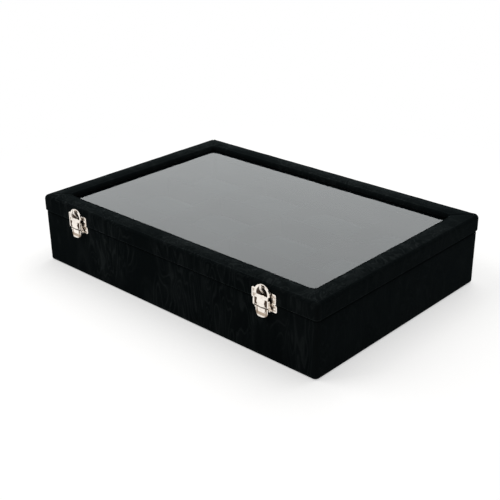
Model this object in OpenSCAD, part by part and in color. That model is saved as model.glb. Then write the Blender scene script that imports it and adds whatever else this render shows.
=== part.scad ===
// Glass-topped display tray: a velvet-covered box with a hinged, glazed lid,
// two toggle latches, and a half-lapped grid that holds loose velvet cushions.
// The origin is the centre of the footprint on the surface it rests on.
// +X runs along the long side, -Y is the latch side, +Z is up.

/* [Case] */
// Length of the closed case
case_w = 350; // [300:1:420]
// Depth of the closed case, front to back
case_d = 240; // [210:1:300]
// Height of the closed case
case_h = 70; // [66:0.5:90]
// Height of the lid, from its underside to its top
lid_h = 16.3; // [15.5:0.1:22]
// How far the lid stands out past the base on each side
lid_overhang = 1.2; // [0.8:0.1:2]
// Gap between the closed lid and the rim of the base
seam_gap = 0.4; // [0.3:0.05:0.6]
// Radius of the upright outer corners
corner_r = 4.5; // [3:0.5:7]

/* [Boards and covering] */
// Thickness of the four wall boards of the base
wall_t = 9; // [7:0.5:12]
// Thickness of the bottom board
bottom_t = 4; // [3:0.5:6]
// Thickness of the glued velvet, outside and inside
velvet_t = 1; // [0.95:0.05:1.3]
// Thickness of the felt sheet under the case
felt_t = 1; // [0.6:0.1:2]
// How far the felt stays back from the edge of the base
felt_margin = 3; // [2:0.5:8]

/* [Lid frame and glass] */
// Width of a lid rail seen from above, velvet included
rail_w = 20; // [17:0.5:24]
// Radius of the soft outer top edge of a rail
rail_outer_r = 4; // [3:0.25:5]
// Radius of the soft inner top edge of a rail
rail_inner_r = 3; // [2:0.25:3.5]
// Radius of the outer lower edge of a rail
rail_lower_r = 1.5; // [1.2:0.1:2]
// How far the glass lies below the top of the rails
glass_drop = 4.5; // [3.5:0.25:5]
// Thickness of the glass
glass_t = 3; // [2:0.25:4]
// How far the glass runs into the rails
glass_bite = 6; // [4:0.5:8]
// Play round the glass in its rebate
glass_play = 0.5; // [0.3:0.1:1]
// Height of the beads that hold the glass from below
bead_h = 6; // [5:0.25:6.5]

/* [Divider grid] */
// Compartments along the length
columns = 4; // [3:1:5]
// Compartments front to back
rows = 3; // [2:1:4]
// Thickness of a divider board
divider_t = 3; // [2:0.5:4]
// Height of a divider board
divider_h = 41; // [36:0.5:43]
// Clearance of the lapped slots and of the divider ends
lap_play = 0.15; // [0.1:0.05:0.3]

/* [Cushions] */
// Room between each end of a cushion and its compartment
cushion_end_gap = 3.5; // [2:0.25:8]
// Room in front of and behind a cushion
cushion_side_gap = 9; // [5:0.5:14]
// How much lower than a divider board a cushion is
cushion_drop = 5; // [4:0.5:10]
// Gap between a cushion and the tray floor
cushion_gap = 0.3; // [0.2:0.05:0.5]

/* [Latches] */
// Distance of the middle of each latch from the nearer end of the case
latch_inset = 55; // [45:1:95]
// Width of the latch plates
plate_w = 26; // [25:0.5:32]
// Thickness of the latch sheet metal
sheet_t = 0.8; // [0.6:0.05:0.9]
// Height of the plate on the base
base_plate_h = 6.6; // [6.4:0.1:9]
// Height of the plate on the lid
catch_plate_h = 9.4; // [9:0.1:11]
// Width of the loop
loop_w = 16; // [15.75:0.25:17]
// Inner radius of the arch of the loop
loop_inner_r = 6; // [5.7:0.1:6.1]
// Turning radius of the loop pin about the lever pin
throw = 3.4; // [3.3:0.05:3.6]
// Radius of both latch pins
latch_pin_r = 0.6; // [0.5:0.05:0.65]
// Length of the lever below the loop pin
lip_len = 6.2; // [5.5:0.1:7.5]

/* [Hinges] */
// Distance of the middle of each hinge from the nearer end of the case
hinge_inset = 70; // [45:1:105]
// Width of a hinge leaf
leaf_w = 32; // [24:1:40]
// Depth of a hinge leaf under the lid
leaf_d = 12; // [9:0.5:14]
// Thickness of a hinge leaf
leaf_t = 0.85; // [0.7:0.05:0.9]
// Radius of the hinge knuckles
knuckle_r = 2.2; // [2:0.1:2.6]
// Radius of the hinge pins
hinge_pin_r = 0.9; // [0.8:0.05:1.1]

/* [Nails] */
// Shank radius of the small nails
nail_r = 0.6; // [0.5:0.05:0.8]
// Length of the nail shanks
nail_len = 7; // [5:0.5:7.5]
// Head radius of the domed nails
nail_head_r = 1.3; // [1.1:0.05:1.6]

/* [Hidden] */

// One overrun serves every cut
over = 0.5;
round_fn = 48;
small_fn = 24;
// Running clearance of the pins in their holes, and of the nails
pin_play = 0.05;

velvet_colour = [0.05, 0.055, 0.06];
board_colour = [0.55, 0.43, 0.3];
nickel_colour = [0.8, 0.78, 0.74];
felt_colour = [0.09, 0.09, 0.1];
glass_colour = [0.75, 0.8, 0.8, 0.35];

// The base, outside and inside
base_w = case_w - 2 * lid_overhang;
base_d = case_d - 2 * lid_overhang;
lid_z = case_h - lid_h;
base_top = lid_z - seam_gap;
board_top = base_top - velvet_t;
floor_z = felt_t + bottom_t + velvet_t;
inner_w = base_w - 2 * (wall_t + 2 * velvet_t);
inner_d = base_d - 2 * (wall_t + 2 * velvet_t);
cell_w = (inner_w - (columns - 1) * divider_t) / columns;
cell_d = (inner_d - (rows - 1) * divider_t) / rows;
base_front = -base_d / 2;
lid_front = -case_d / 2;
latch_x = case_w / 2 - latch_inset;
hinge_x = case_w / 2 - hinge_inset;
cushion_w = cell_w - 2 * cushion_end_gap;
cushion_d = cell_d - 2 * cushion_side_gap;
cushion_h = divider_h - cushion_drop;

function column_x(i) = -inner_w / 2 + cell_w / 2 + (i - 1) * (cell_w + divider_t);
function row_y(j) = inner_d / 2 - cell_d / 2 - (j - 1) * (cell_d + divider_t);

// The lid
glass_top = case_h - glass_drop;
glass_under = glass_top - glass_t;
open_w = case_w - 2 * rail_w;
open_d = case_d - 2 * rail_w;
glass_w = open_w + 2 * glass_bite;
glass_d = open_d + 2 * glass_bite;
rebate = glass_bite + glass_play;
bead_w = rebate - lap_play;

// A case outline seen from above, drawn in by inset
module plan(w, d, inset) {
    r = corner_r - inset;
    x = w / 2 - corner_r;
    y = d / 2 - corner_r;
    square([w - 2 * inset, 2 * y], center = true);
    square([2 * x, d - 2 * inset], center = true);
    for (sx = [-1, 1])
        for (sy = [-1, 1])
            translate([sx * x, sy * y])
                circle(r, $fn = round_fn);
}

module prism(w, d, inset, low, high) {
    translate([0, 0, low])
        linear_extrude(high - low)
            plan(w, d, inset);
}

module box(low, high) {
    translate(low)
        cube(high - low);
}

// A rod along X, centred on the point at
module rod_x(at, r, len) {
    translate(at)
        rotate([0, 90, 0])
            cylinder(r = r, h = len, center = true, $fn = small_fn);
}

// A flat outline in Y and Z, given thickness along X from x_low
module side_plate(x_low, thickness) {
    translate([x_low, 0, 0])
        rotate([90, 0, 90])
            linear_extrude(thickness)
                children();
}

// A flat outline in X and Z, given thickness towards -Y from y_back
module front_plate(y_back, thickness) {
    translate([0, y_back, 0])
        rotate([90, 0, 0])
            linear_extrude(thickness)
                children();
}

module two_sides(x) {
    for (side = [-1, 1])
        translate([side * x, 0, 0])
            children();
}

// Base boards
board_w = base_w - 2 * velvet_t;
board_d = base_d - 2 * velvet_t;
room_w = board_w - 2 * wall_t;
room_d = board_d - 2 * wall_t;

module bottom_board() {
    color(board_colour)
        box([-room_w / 2, -room_d / 2, felt_t], [room_w / 2, room_d / 2, felt_t + bottom_t]);
}

// Front and back boards run the whole length, and the end boards stand between them
module long_board(side) {
    y = side * (board_d / 2 - wall_t / 2);
    color(board_colour)
        difference() {
            intersection() {
                prism(base_w, base_d, velvet_t, felt_t, board_top);
                translate([0, y, 0])
                    box([-case_w, -wall_t / 2, 0], [case_w, wall_t / 2, case_h]);
            }
            two_sides(latch_x)
                plate_nails(base_front, base_nail_z, pin_play);
            two_sides(hinge_x)
                leaf_nails(base_leaf_top, -1, pin_play);
        }
}

module front_board() {
    long_board(-1);
}

module back_board() {
    long_board(1);
}

module end_board(side) {
    x = side * (board_w / 2 - wall_t / 2);
    color(board_colour)
        translate([x, 0, 0])
            box([-wall_t / 2, -room_d / 2, felt_t], [wall_t / 2, room_d / 2, board_top]);
}

module left_board() {
    end_board(-1);
}

module right_board() {
    end_board(1);
}

// Outer velvet of the base: the walls and the rim, with pockets for the hinge leaves
module base_velvet() {
    color(velvet_colour)
        difference() {
            prism(base_w, base_d, 0, felt_t, base_top);
            prism(base_w, base_d, velvet_t, felt_t - over, board_top);
            box([-inner_w / 2, -inner_d / 2, felt_t], [inner_w / 2, inner_d / 2, case_h]);
            two_sides(hinge_x)
                leaf_pocket(board_top, case_h);
            two_sides(latch_x)
                plate_nails(base_front, base_nail_z, pin_play);
        }
}

// Inner velvet: a thin open tray glued to the walls and the bottom board
module base_lining() {
    color(velvet_colour)
        difference() {
            box([-room_w / 2, -room_d / 2, felt_t + bottom_t], [room_w / 2, room_d / 2, board_top]);
            box([-inner_w / 2, -inner_d / 2, floor_z], [inner_w / 2, inner_d / 2, case_h]);
        }
}

module bottom_felt() {
    color(felt_colour)
        prism(base_w - 2 * felt_margin, base_d - 2 * felt_margin, 0, 0, felt_t);
}

// The divider grid: slots from above in the long boards, from below in the cross boards
slot_w = divider_t + 2 * lap_play;
lap_z = floor_z + divider_h / 2;

module long_divider(j) {
    y = (row_y(j) + row_y(j + 1)) / 2;
    color(velvet_colour)
        difference() {
            translate([0, y, 0])
                box([-inner_w / 2 + lap_play, -divider_t / 2, floor_z],
                    [inner_w / 2 - lap_play, divider_t / 2, floor_z + divider_h]);
            for (i = [1:columns - 1])
                translate([(column_x(i) + column_x(i + 1)) / 2, y, 0])
                    box([-slot_w / 2, -divider_t, lap_z - lap_play], [slot_w / 2, divider_t, case_h]);
        }
}

module cross_divider(i) {
    x = (column_x(i) + column_x(i + 1)) / 2;
    color(velvet_colour)
        difference() {
            translate([x, 0, 0])
                box([-divider_t / 2, -inner_d / 2 + lap_play, floor_z],
                    [divider_t / 2, inner_d / 2 - lap_play, floor_z + divider_h]);
            for (j = [1:rows - 1])
                translate([x, (row_y(j) + row_y(j + 1)) / 2, 0])
                    box([-divider_t, -slot_w / 2, 0], [divider_t, slot_w / 2, lap_z + lap_play]);
        }
}

// A cushion: crowned along its length, with its long sides drawn in between the ends
cushion_rings = 12;
cushion_sides = 20;
crown_share = 0.1;
draw_share = 0.06;
rest_share = 0.86;
round_power = 2.8;
end_power = 5;

function soft(c, power) = sign(c) * pow(abs(c), 2 / power);
function swell(t) = pow(1 - pow(abs(t), end_power), 1 / end_power);
function cushion_y(t, a) =
    cushion_d / 2 * swell(t) * (1 - draw_share * (1 - t * t)) * soft(cos(a), round_power);
function cushion_z(t, a) =
    max(cushion_h / 2 * swell(t) * (1 - crown_share * t * t) * soft(sin(a), round_power),
        -cushion_h / 2 * rest_share);
function ring_share(i) = -cos(180 * i / cushion_rings);

module cushion_solid() {
    inner = cushion_rings - 1;
    points = concat(
        [[-cushion_w / 2, 0, 0]],
        [for (i = [1:inner]) for (k = [0:cushion_sides - 1])
            let (t = ring_share(i), a = 360 * k / cushion_sides)
            [cushion_w / 2 * t, cushion_y(t, a), cushion_z(t, a)]],
        [[cushion_w / 2, 0, 0]]
    );
    last = inner * cushion_sides + 1;
    function at(i, k) = 1 + (i - 1) * cushion_sides + k % cushion_sides;
    faces = concat(
        [for (k = [0:cushion_sides - 1]) [0, at(1, k), at(1, k + 1)]],
        [for (i = [1:inner - 1]) for (k = [0:cushion_sides - 1])
            each [[at(i, k), at(i + 1, k), at(i + 1, k + 1)],
                  [at(i, k), at(i + 1, k + 1), at(i, k + 1)]]],
        [for (k = [0:cushion_sides - 1]) [last, at(inner, k + 1), at(inner, k)]]
    );
    polyhedron(points, faces);
}

module cushion(row, column) {
    z = floor_z + cushion_gap + cushion_h / 2 * rest_share;
    color(velvet_colour)
        translate([column_x(column), row_y(row), z])
            cushion_solid();
}

// Lid rails: the outline of one rail, across it from the outer face, drawn in by inset
module rail_outline(inset) {
    low = lid_z + inset;
    high = case_h - inset;
    outer_r = rail_outer_r - inset;
    inner_r = rail_inner_r - inset;
    lower_r = rail_lower_r - inset;
    translate([rail_outer_r, low])
        square([rail_w - rail_outer_r - rail_inner_r, high - low]);
    translate([inset, lid_z + rail_lower_r])
        square([rail_w - 2 * inset, lid_h - rail_lower_r - rail_outer_r]);
    translate([rail_w / 2, low])
        square([rail_w / 2 - inset, lid_h / 2]);
    translate([rail_lower_r, low])
        square([rail_w / 2, lid_h / 2]);
    translate([rail_lower_r, lid_z + rail_lower_r])
        circle(lower_r, $fn = round_fn);
    translate([rail_outer_r, case_h - rail_outer_r])
        circle(outer_r, $fn = round_fn);
    translate([rail_w - rail_inner_r, case_h - rail_outer_r])
        square([inner_r, rail_outer_r - rail_inner_r]);
    translate([rail_w - rail_inner_r, case_h - rail_inner_r])
        circle(inner_r, $fn = round_fn);
}

// One mitred side of the frame, on the front, for a frame of that length and depth
module frame_side(length, depth, inset) {
    intersection() {
        translate([-length / 2, -depth / 2, 0])
            rotate([90, 0, 90])
                linear_extrude(length)
                    rail_outline(inset);
        linear_extrude(2 * case_h)
            polygon([[-length / 2, -depth / 2], [length / 2, -depth / 2],
                     [length / 2 - rail_w, -depth / 2 + rail_w],
                     [-length / 2 + rail_w, -depth / 2 + rail_w]]);
    }
}

module frame_run(turn, inset) {
    across = turn % 2;
    rotate([0, 0, 90 * turn])
        frame_side(across == 0 ? case_w : case_d, across == 0 ? case_d : case_w, inset);
}

// The room for the glass and its beads, cut from below
module glass_room() {
    x = open_w / 2 + rebate;
    y = open_d / 2 + rebate;
    box([-x, -y, 0], [x, y, glass_top]);
}

module lid_rail(turn) {
    color(board_colour)
        difference() {
            intersection() {
                frame_run(turn, velvet_t);
                prism(case_w, case_d, velvet_t, 0, 2 * case_h);
            }
            glass_room();
            two_sides(latch_x)
                plate_nails(lid_front, catch_nail_z, pin_play);
            two_sides(hinge_x)
                leaf_nails(lid_leaf_under, 1, pin_play);
        }
}

module lid_front_rail() {
    lid_rail(0);
}

module lid_right_rail() {
    lid_rail(1);
}

module lid_back_rail() {
    lid_rail(2);
}

module lid_left_rail() {
    lid_rail(3);
}

module lid_velvet() {
    color(velvet_colour)
        difference() {
            intersection() {
                union() {
                    for (turn = [0:3])
                        frame_run(turn, 0);
                }
                prism(case_w, case_d, 0, 0, 2 * case_h);
            }
            intersection() {
                union() {
                    for (turn = [0:3])
                        frame_run(turn, velvet_t);
                }
                prism(case_w, case_d, velvet_t, 0, 2 * case_h);
            }
            glass_room();
            two_sides(hinge_x)
                leaf_pocket(0, lid_z + velvet_t);
            two_sides(latch_x)
                plate_nails(lid_front, catch_nail_z, pin_play);
        }
}

module lid_glass() {
    color(glass_colour)
        box([-glass_w / 2, -glass_d / 2, glass_under], [glass_w / 2, glass_d / 2, glass_top]);
}

// Four mitred beads hold the glass up in its rebate
module glass_bead(turn) {
    across = turn % 2;
    length = (across == 0 ? open_w : open_d) + 2 * bead_w;
    depth = (across == 0 ? open_d : open_w) + 2 * bead_w;
    color(velvet_colour)
        rotate([0, 0, 90 * turn])
            translate([0, 0, glass_under - bead_h])
                linear_extrude(bead_h)
                    polygon([[-length / 2, -depth / 2], [length / 2, -depth / 2],
                             [length / 2 - bead_w, -depth / 2 + bead_w],
                             [-length / 2 + bead_w, -depth / 2 + bead_w]]);
}

// Latches. Every place is worked out from the two plates.
base_plate_top = base_top - sheet_t / 4;
base_plate_low = base_plate_top - base_plate_h;
catch_plate_low = lid_z + seam_gap;
catch_plate_top = catch_plate_low + catch_plate_h;
base_plate_face = base_front - sheet_t;
catch_plate_face = lid_front - sheet_t;
base_nail_z = base_plate_low + base_plate_h / 2;
catch_nail_z = catch_plate_low + catch_plate_h / 2;
plate_nail_x = plate_w / 2 - 2 * nail_head_r;
plate_corner_r = 1.5;
latch_play = 0.3;
ear_wall = 0.9;
barrel_step = 0.1;
web_play = 0.05;
arch_gap = 1.4;
loop_lift = 2.3;
arch_rise = 7.4;
bend_rise = 4.2;
bend_half = 1;
window_drop = 1.6;
neck_rise = 0.6;
neck_r = 1.6;
neck_bite = 1.5;
hook_lip_h = 1.5;
hook_room = 1;
tongue_rise = 6;
flare_out = 1.7;
point_drop = 0.9;
panel_margin = 2.6;
panel_slope = 1.3;
panel_rise = 0.6;
rim_w = 1.2;
field_drop = 0.25;
flange_gap = 0.7;
tab_w = 8;
tab_rise = 0.5;
tab_corner_r = 2.5;
tab_gap = 0.6;

ear_r = latch_pin_r + ear_wall;
barrel_r = ear_r - barrel_step;
pivot_gap = ear_r + latch_play * 2;
lever_y = base_plate_face - pivot_gap;
lever_z = base_plate_top - ear_r - latch_play * 2;
past_centre = 0.4;
loop_y = lever_y + past_centre;
loop_z = lever_z - throw;
boss_r = barrel_r - barrel_step;

// Across the latch, from outside in: the loop's side flanges, the ears, the lever cheeks
flange_x = loop_w / 2;
flange_in = flange_x - sheet_t;
lip_wide = flange_in - flange_gap;
ear_x = lip_wide - sheet_t - latch_play;
cheek_x = ear_x - latch_play;
lever_pin_len = 2 * (ear_x + sheet_t + latch_play);
loop_pin_len = loop_w + sheet_t / 2;

web_front = lever_y - barrel_r - web_play;
loop_back = lever_y - ear_r - latch_play;
arch_back = catch_plate_face - arch_gap;
loop_low = loop_z + boss_r + loop_lift;
arch_z = catch_plate_low + arch_rise;
arch_low = catch_plate_low + bend_rise;
bar_r = loop_w / 2;
window_low = arch_z - window_drop;
neck_z = arch_low + neck_rise;

module plate_nail(at, z, play) {
    translate([0, at, z])
        rotate([-90, 0, 0])
            cylinder(r = nail_r + play, h = nail_len + play, $fn = small_fn);
}

// The shanks of the two nails of one latch plate
module plate_nails(y, z, play) {
    two_sides(plate_nail_x)
        plate_nail(y, z, play);
}

// A plate outline drawn in by inset
module plate_outline(low, high, inset) {
    x = plate_w / 2 - plate_corner_r;
    for (side = [-1, 1])
        for (z = [low + plate_corner_r, high - plate_corner_r])
            translate([side * x, z])
                circle(plate_corner_r - inset, $fn = small_fn);
    translate([-plate_w / 2 + inset, low + plate_corner_r])
        square([plate_w - 2 * inset, high - low - 2 * plate_corner_r]);
    translate([-x, low + inset])
        square([2 * x, high - low - 2 * inset]);
}

// A plate whose border stands proud of its field
module latch_plate(y, low, high, nail_z) {
    difference() {
        front_plate(y, sheet_t)
            plate_outline(low, high, 0);
        front_plate(y - sheet_t + field_drop, sheet_t)
            plate_outline(low, high, rim_w);
        plate_nails(y - 2 * sheet_t, nail_z, pin_play);
    }
}

module ear(side) {
    side_plate(side * ear_x - (side < 0 ? sheet_t : 0), sheet_t)
        difference() {
            union() {
                translate([lever_y, lever_z])
                    circle(ear_r, $fn = small_fn);
                translate([lever_y, lever_z - ear_r])
                    square([base_plate_face - lever_y + sheet_t / 2, 2 * ear_r]);
            }
            translate([lever_y, lever_z])
                circle(latch_pin_r + pin_play, $fn = small_fn);
        }
}

module latch_base_plate() {
    color(nickel_colour) {
        latch_plate(base_front, base_plate_low, base_plate_top, base_nail_z);
        for (side = [-1, 1])
            ear(side);
    }
}

// The catch: a tongue pressed out of the lid plate, with a lip that the bar drops behind.
// Pressing it out leaves a notch that is open at the top.
tongue_w = 3.6;
notch_w = 9.6;
hook_floor = arch_z + loop_inner_r - latch_play;
hook_lip = hook_floor + hook_lip_h;
hook_front = arch_back - sheet_t - hook_room;
tongue_low = catch_plate_low + tongue_rise;

module latch_catch_plate() {
    color(nickel_colour) {
        difference() {
            latch_plate(lid_front, catch_plate_low, catch_plate_top, catch_nail_z);
            front_plate(0, 2 * case_d)
                translate([-notch_w / 2, tongue_low + 2 * sheet_t])
                    square([notch_w, case_h]);
        }
        side_plate(-tongue_w / 2, tongue_w)
            polygon([[lid_front - sheet_t / 2, tongue_low],
                     [catch_plate_face, tongue_low],
                     [hook_front - sheet_t, hook_floor - 1.5 * sheet_t],
                     [hook_front - sheet_t, hook_lip],
                     [hook_front, hook_lip],
                     [hook_front, hook_floor],
                     [arch_back + sheet_t, hook_floor - sheet_t],
                     [lid_front - sheet_t / 2, tongue_low + 1.5 * sheet_t]]);
    }
}

// The lever: two cheeks, a web between them, and a lip that flares out to the fingertip
lever_low = loop_z - lip_len;
flare_z = loop_z - throw + latch_play;
lip_steps = 6;
shoulder_z = loop_z + boss_r;

function lip_z(i) = flare_z - (flare_z - lever_low) * i / lip_steps;
function lip_y(i) = web_front - flare_out * pow(i / lip_steps, 2);

module lever_section() {
    polygon(concat(
        [[web_front + sheet_t, lever_z], [web_front, lever_z]],
        [for (i = [0:lip_steps]) [lip_y(i), lip_z(i)]],
        [for (i = [lip_steps:-1:0]) [lip_y(i) + sheet_t, lip_z(i)]]
    ));
}

lip_top = loop_z - boss_r;
lip_turns = 16;
lip_power = 0.75;

function lip_point(a) =
    [-lip_wide * sign(cos(a)) * pow(abs(cos(a)), lip_power),
     lip_top - (lip_top - lever_low) * pow(abs(sin(a)), lip_power)];

module lever_front() {
    translate([-cheek_x, lip_top])
        square([2 * cheek_x, case_h]);
    translate([-lip_wide, lip_top])
        square([2 * lip_wide, 2 * boss_r]);
    polygon([for (i = [0:lip_turns]) lip_point(180 * i / lip_turns)]);
}

// The raised tab in the middle of the lever, round at its foot
tab_low = flare_z + tab_gap;
tab_high = loop_low - point_drop - tab_gap;

module lever_tab() {
    x = tab_w / 2 - tab_corner_r;
    front_plate(web_front + sheet_t / 2, tab_rise + sheet_t / 2) {
        translate([-tab_w / 2, tab_low + tab_corner_r])
            square([tab_w, tab_high - tab_low - tab_corner_r]);
        translate([-x, tab_low])
            square([2 * x, tab_corner_r]);
        for (side = [-1, 1])
            translate([side * x, tab_low + tab_corner_r])
                circle(tab_corner_r, $fn = small_fn);
    }
}

module lever_blank() {
    intersection() {
        side_plate(-lip_wide, 2 * lip_wide)
            lever_section();
        front_plate(0, 2 * case_d) {
            intersection() {
                lever_front();
                union() {
                    translate([-cheek_x, shoulder_z])
                        square([2 * cheek_x, case_h]);
                    translate([-lip_wide, 0])
                        square([2 * lip_wide, shoulder_z]);
                }
            }
        }
    }
}

module cheek_section() {
    difference() {
        union() {
            translate([lever_y, lever_z])
                circle(barrel_r, $fn = small_fn);
            translate([loop_y, loop_z])
                circle(boss_r, $fn = small_fn);
            translate([web_front, flare_z])
                square([loop_y + boss_r - web_front - past_centre, lever_z - flare_z]);
        }
        translate([lever_y, lever_z])
            circle(latch_pin_r + pin_play, $fn = small_fn);
        translate([loop_y, loop_z])
            circle(latch_pin_r + pin_play, $fn = small_fn);
    }
}

module latch_lever() {
    color(nickel_colour) {
        lever_blank();
        lever_tab();
        for (x = [-cheek_x, cheek_x - sheet_t])
            side_plate(x, sheet_t)
                cheek_section();
    }
}

module latch_lever_pin() {
    color(nickel_colour)
        rod_x([0, lever_y, lever_z], latch_pin_r, lever_pin_len);
}

module latch_loop_pin() {
    color(nickel_colour)
        rod_x([0, loop_y, loop_z], latch_pin_r, loop_pin_len);
}

// The loop: an arched plate with a window for the catch and two flanges that hold its pin
module loop_section() {
    body_front = loop_back - sheet_t;
    arch_front = arch_back - sheet_t;
    polygon([[body_front, 0], [loop_back, 0], [loop_back, arch_low - bend_half],
             [arch_back, arch_low + bend_half], [arch_back, case_h], [arch_front, case_h],
             [arch_front, arch_low + bend_half], [body_front, arch_low - bend_half]]);
}

module loop_front() {
    difference() {
        union() {
            translate([0, arch_z])
                circle(bar_r, $fn = round_fn);
            translate([-bar_r, loop_low])
                square([loop_w, arch_z - loop_low]);
            polygon([[-bar_r, loop_low], [0, loop_low - point_drop], [bar_r, loop_low]]);
        }
        for (side = [-1, 1])
            translate([side * (bar_r - neck_bite + neck_r), neck_z])
                circle(neck_r, $fn = small_fn);
        intersection() {
            translate([0, arch_z])
                circle(loop_inner_r, $fn = round_fn);
            translate([-bar_r, window_low])
                square([loop_w, case_h]);
        }
    }
}

// The raised panel of the body, drawn from above and from the side
module panel(back) {
    out = back - panel_rise;
    x = bar_r - panel_margin;
    low = loop_low + panel_margin / 2;
    high = arch_low - bend_half - panel_margin / 2;
    intersection() {
        linear_extrude(case_h)
            polygon([[-x, back + sheet_t / 4], [-x, back], [-x + panel_slope, out],
                     [x - panel_slope, out], [x, back], [x, back + sheet_t / 4]]);
        side_plate(-bar_r, loop_w)
            polygon([[back + sheet_t / 4, low], [back, low], [out, low + panel_slope],
                     [out, high - panel_slope], [back, high], [back + sheet_t / 4, high]]);
    }
}

module flange_section() {
    difference() {
        union() {
            translate([loop_y, loop_z])
                circle(boss_r, $fn = small_fn);
            polygon([[loop_back - sheet_t, loop_low], [loop_back - sheet_t, arch_low - bend_half],
                     [loop_back + sheet_t, arch_low - bend_half],
                     [loop_y - boss_r / 2, loop_low + bend_half],
                     [loop_y + boss_r, loop_z], [loop_y, loop_z - boss_r]]);
        }
        translate([loop_y, loop_z])
            circle(latch_pin_r + pin_play, $fn = small_fn);
    }
}

module latch_loop() {
    color(nickel_colour) {
        difference() {
            union() {
                intersection() {
                    side_plate(-bar_r, loop_w)
                        loop_section();
                    front_plate(0, 2 * case_d)
                        loop_front();
                }
                panel(loop_back - sheet_t);
            }
            panel(loop_back);
        }
        for (x = [-flange_x, flange_in])
            side_plate(x, sheet_t)
                flange_section();
    }
}

// Domed nails in the latch plates
module domed_nail(y, z) {
    translate([0, y, z])
        rotate([90, 0, 0])
            intersection() {
                translate([0, 0, -nail_head_r])
                    sphere(nail_head_r * sqrt(2), $fn = small_fn);
                cylinder(r = nail_head_r, h = nail_head_r, $fn = small_fn);
            }
    plate_nail(y - over / 2, z, 0);
}

module latch_nails(y, z) {
    color(nickel_colour)
        two_sides(latch_x)
            two_sides(plate_nail_x)
                domed_nail(y, z);
}

// Hinges: thin leaves let into the velvet, with knuckles behind the case
seam_z = lid_z - seam_gap / 2;
hinge_play = 0.3;
hinge_y = case_d / 2 + knuckle_r + hinge_play;
base_leaf_top = seam_z - hinge_play / 2;
lid_leaf_under = seam_z + hinge_play / 2;
leaf_edge = hinge_y - knuckle_r - hinge_play;
leaf_nail_y = leaf_edge - leaf_d / 2;
leaf_nail_x = leaf_w / 3;
knuckle_w = (leaf_w - 2 * hinge_play) / 3;

module leaf_pocket(low, high) {
    box([-leaf_w / 2 - lap_play, leaf_edge - leaf_d - lap_play, low],
        [leaf_w / 2 + lap_play, case_d, high]);
}

// The shanks of the nails of one leaf, pointing down for -1 and up for 1
module leaf_nails(z, way, play) {
    two_sides(leaf_nail_x)
        translate([0, leaf_nail_y, way < 0 ? z - nail_len - play : z - play])
            cylinder(r = nail_r + play, h = nail_len + 2 * play, $fn = small_fn);
}

module knuckle(x_low, x_high, z_low, z_high) {
    difference() {
        union() {
            side_plate(x_low, x_high - x_low)
                translate([hinge_y, seam_z])
                    circle(knuckle_r, $fn = small_fn);
            box([x_low, leaf_edge - over, z_low], [x_high, hinge_y, z_high]);
        }
        rod_x([0, hinge_y, seam_z], hinge_pin_r + pin_play, 2 * leaf_w);
    }
}

module leaf(z_low, way) {
    difference() {
        box([-leaf_w / 2, leaf_edge - leaf_d, z_low], [leaf_w / 2, leaf_edge, z_low + leaf_t]);
        translate([0, 0, way < 0 ? 0 : -nail_len / 2])
            leaf_nails(z_low + leaf_t, way, pin_play);
    }
}

module hinge_base_leaf() {
    low = base_leaf_top - leaf_t;
    color(nickel_colour) {
        leaf(low, -1);
        knuckle(-leaf_w / 2, -leaf_w / 2 + knuckle_w, low, base_leaf_top);
        knuckle(leaf_w / 2 - knuckle_w, leaf_w / 2, low, base_leaf_top);
    }
}

module hinge_lid_leaf() {
    color(nickel_colour) {
        leaf(lid_leaf_under, 1);
        knuckle(-knuckle_w / 2, knuckle_w / 2, lid_leaf_under, lid_leaf_under + leaf_t);
    }
}

module hinge_pin() {
    color(nickel_colour)
        rod_x([0, hinge_y, seam_z], hinge_pin_r, leaf_w);
}

module hinge_nails(z, way) {
    color(nickel_colour)
        two_sides(hinge_x)
            leaf_nails(z, way, 0);
}

// One side of the case: -1 is left, 1 is right
module fitting(side, part) {
    name = side < 0 ? "left" : "right";
    place = [side * latch_x, 0, 0];
    hinge_place = [side * hinge_x, 0, 0];
    translate(part[1] == "l" ? place : hinge_place)
            children();
}

for (side = [-1, 1]) {
    fitting(side, "_latch_base_plate") latch_base_plate();
    fitting(side, "_latch_catch_plate") latch_catch_plate();
    fitting(side, "_latch_lever") latch_lever();
    fitting(side, "_latch_lever_pin") latch_lever_pin();
    fitting(side, "_latch_loop") latch_loop();
    fitting(side, "_latch_loop_pin") latch_loop_pin();
    fitting(side, "_hinge_base_leaf") hinge_base_leaf();
    fitting(side, "_hinge_lid_leaf") hinge_lid_leaf();
    fitting(side, "_hinge_pin") hinge_pin();
}
bottom_board();
front_board();
back_board();
left_board();
right_board();
base_velvet();
base_lining();
bottom_felt();
long_divider(1);  // long_divider_1
long_divider(2);  // long_divider_2
cross_divider(1);  // cross_divider_1
cross_divider(2);  // cross_divider_2
cross_divider(3);  // cross_divider_3
latch_nails(base_plate_face + field_drop, base_nail_z);  // latch_base_nails
latch_nails(catch_plate_face + field_drop, catch_nail_z);  // latch_catch_nails
hinge_nails(base_leaf_top, -1);  // hinge_base_nails
hinge_nails(lid_leaf_under, 1);  // hinge_lid_nails
lid_front_rail();
lid_back_rail();
lid_left_rail();
lid_right_rail();
lid_velvet();
lid_glass();
glass_bead(0);  // front_glass_bead
glass_bead(1);  // right_glass_bead
glass_bead(2);  // back_glass_bead
glass_bead(3);  // left_glass_bead
for (row = [1:rows])
    for (column = [1:columns])
        cushion(row, column);
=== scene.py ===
"""Dresses a glass-topped display tray in velvet, with its glazed lid, toggle latches and cushions."""

import math

import bmesh
import bpy
from bpy.props import FloatProperty, FloatVectorProperty, PointerProperty
from mathutils import Matrix, Vector, noise


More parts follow.
